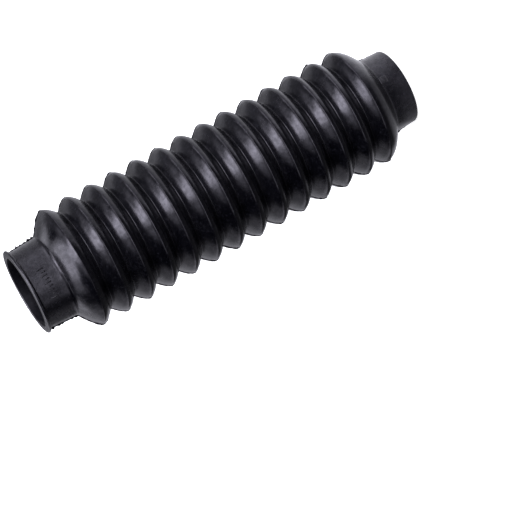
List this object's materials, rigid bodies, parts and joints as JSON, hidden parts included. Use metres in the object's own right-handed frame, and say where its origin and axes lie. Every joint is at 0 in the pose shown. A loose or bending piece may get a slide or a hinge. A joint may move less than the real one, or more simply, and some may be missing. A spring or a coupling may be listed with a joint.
{
  "type": "fork gaiter",
  "caption": "Moulded rubber bellows sleeve for a motorbike's front fork, with ring-shaped folds, a plain cuff at one end and a lipped cuff at the other.",
  "frame": {"origin": "centre of the narrow cuff's end face, which is the lowest face", "axes": "+Z along the sleeve's axis, from the narrow cuff up to the lipped wide cuff; +X and +Y square to it"},
  "size_m": [0.059, 0.059, 0.2006],
  "materials": {
    "rubber": "satin near-black moulded rubber"
  },
  "bodies": {
    "root": {"gaiter": "rubber"}
  },
  "joints": []
}
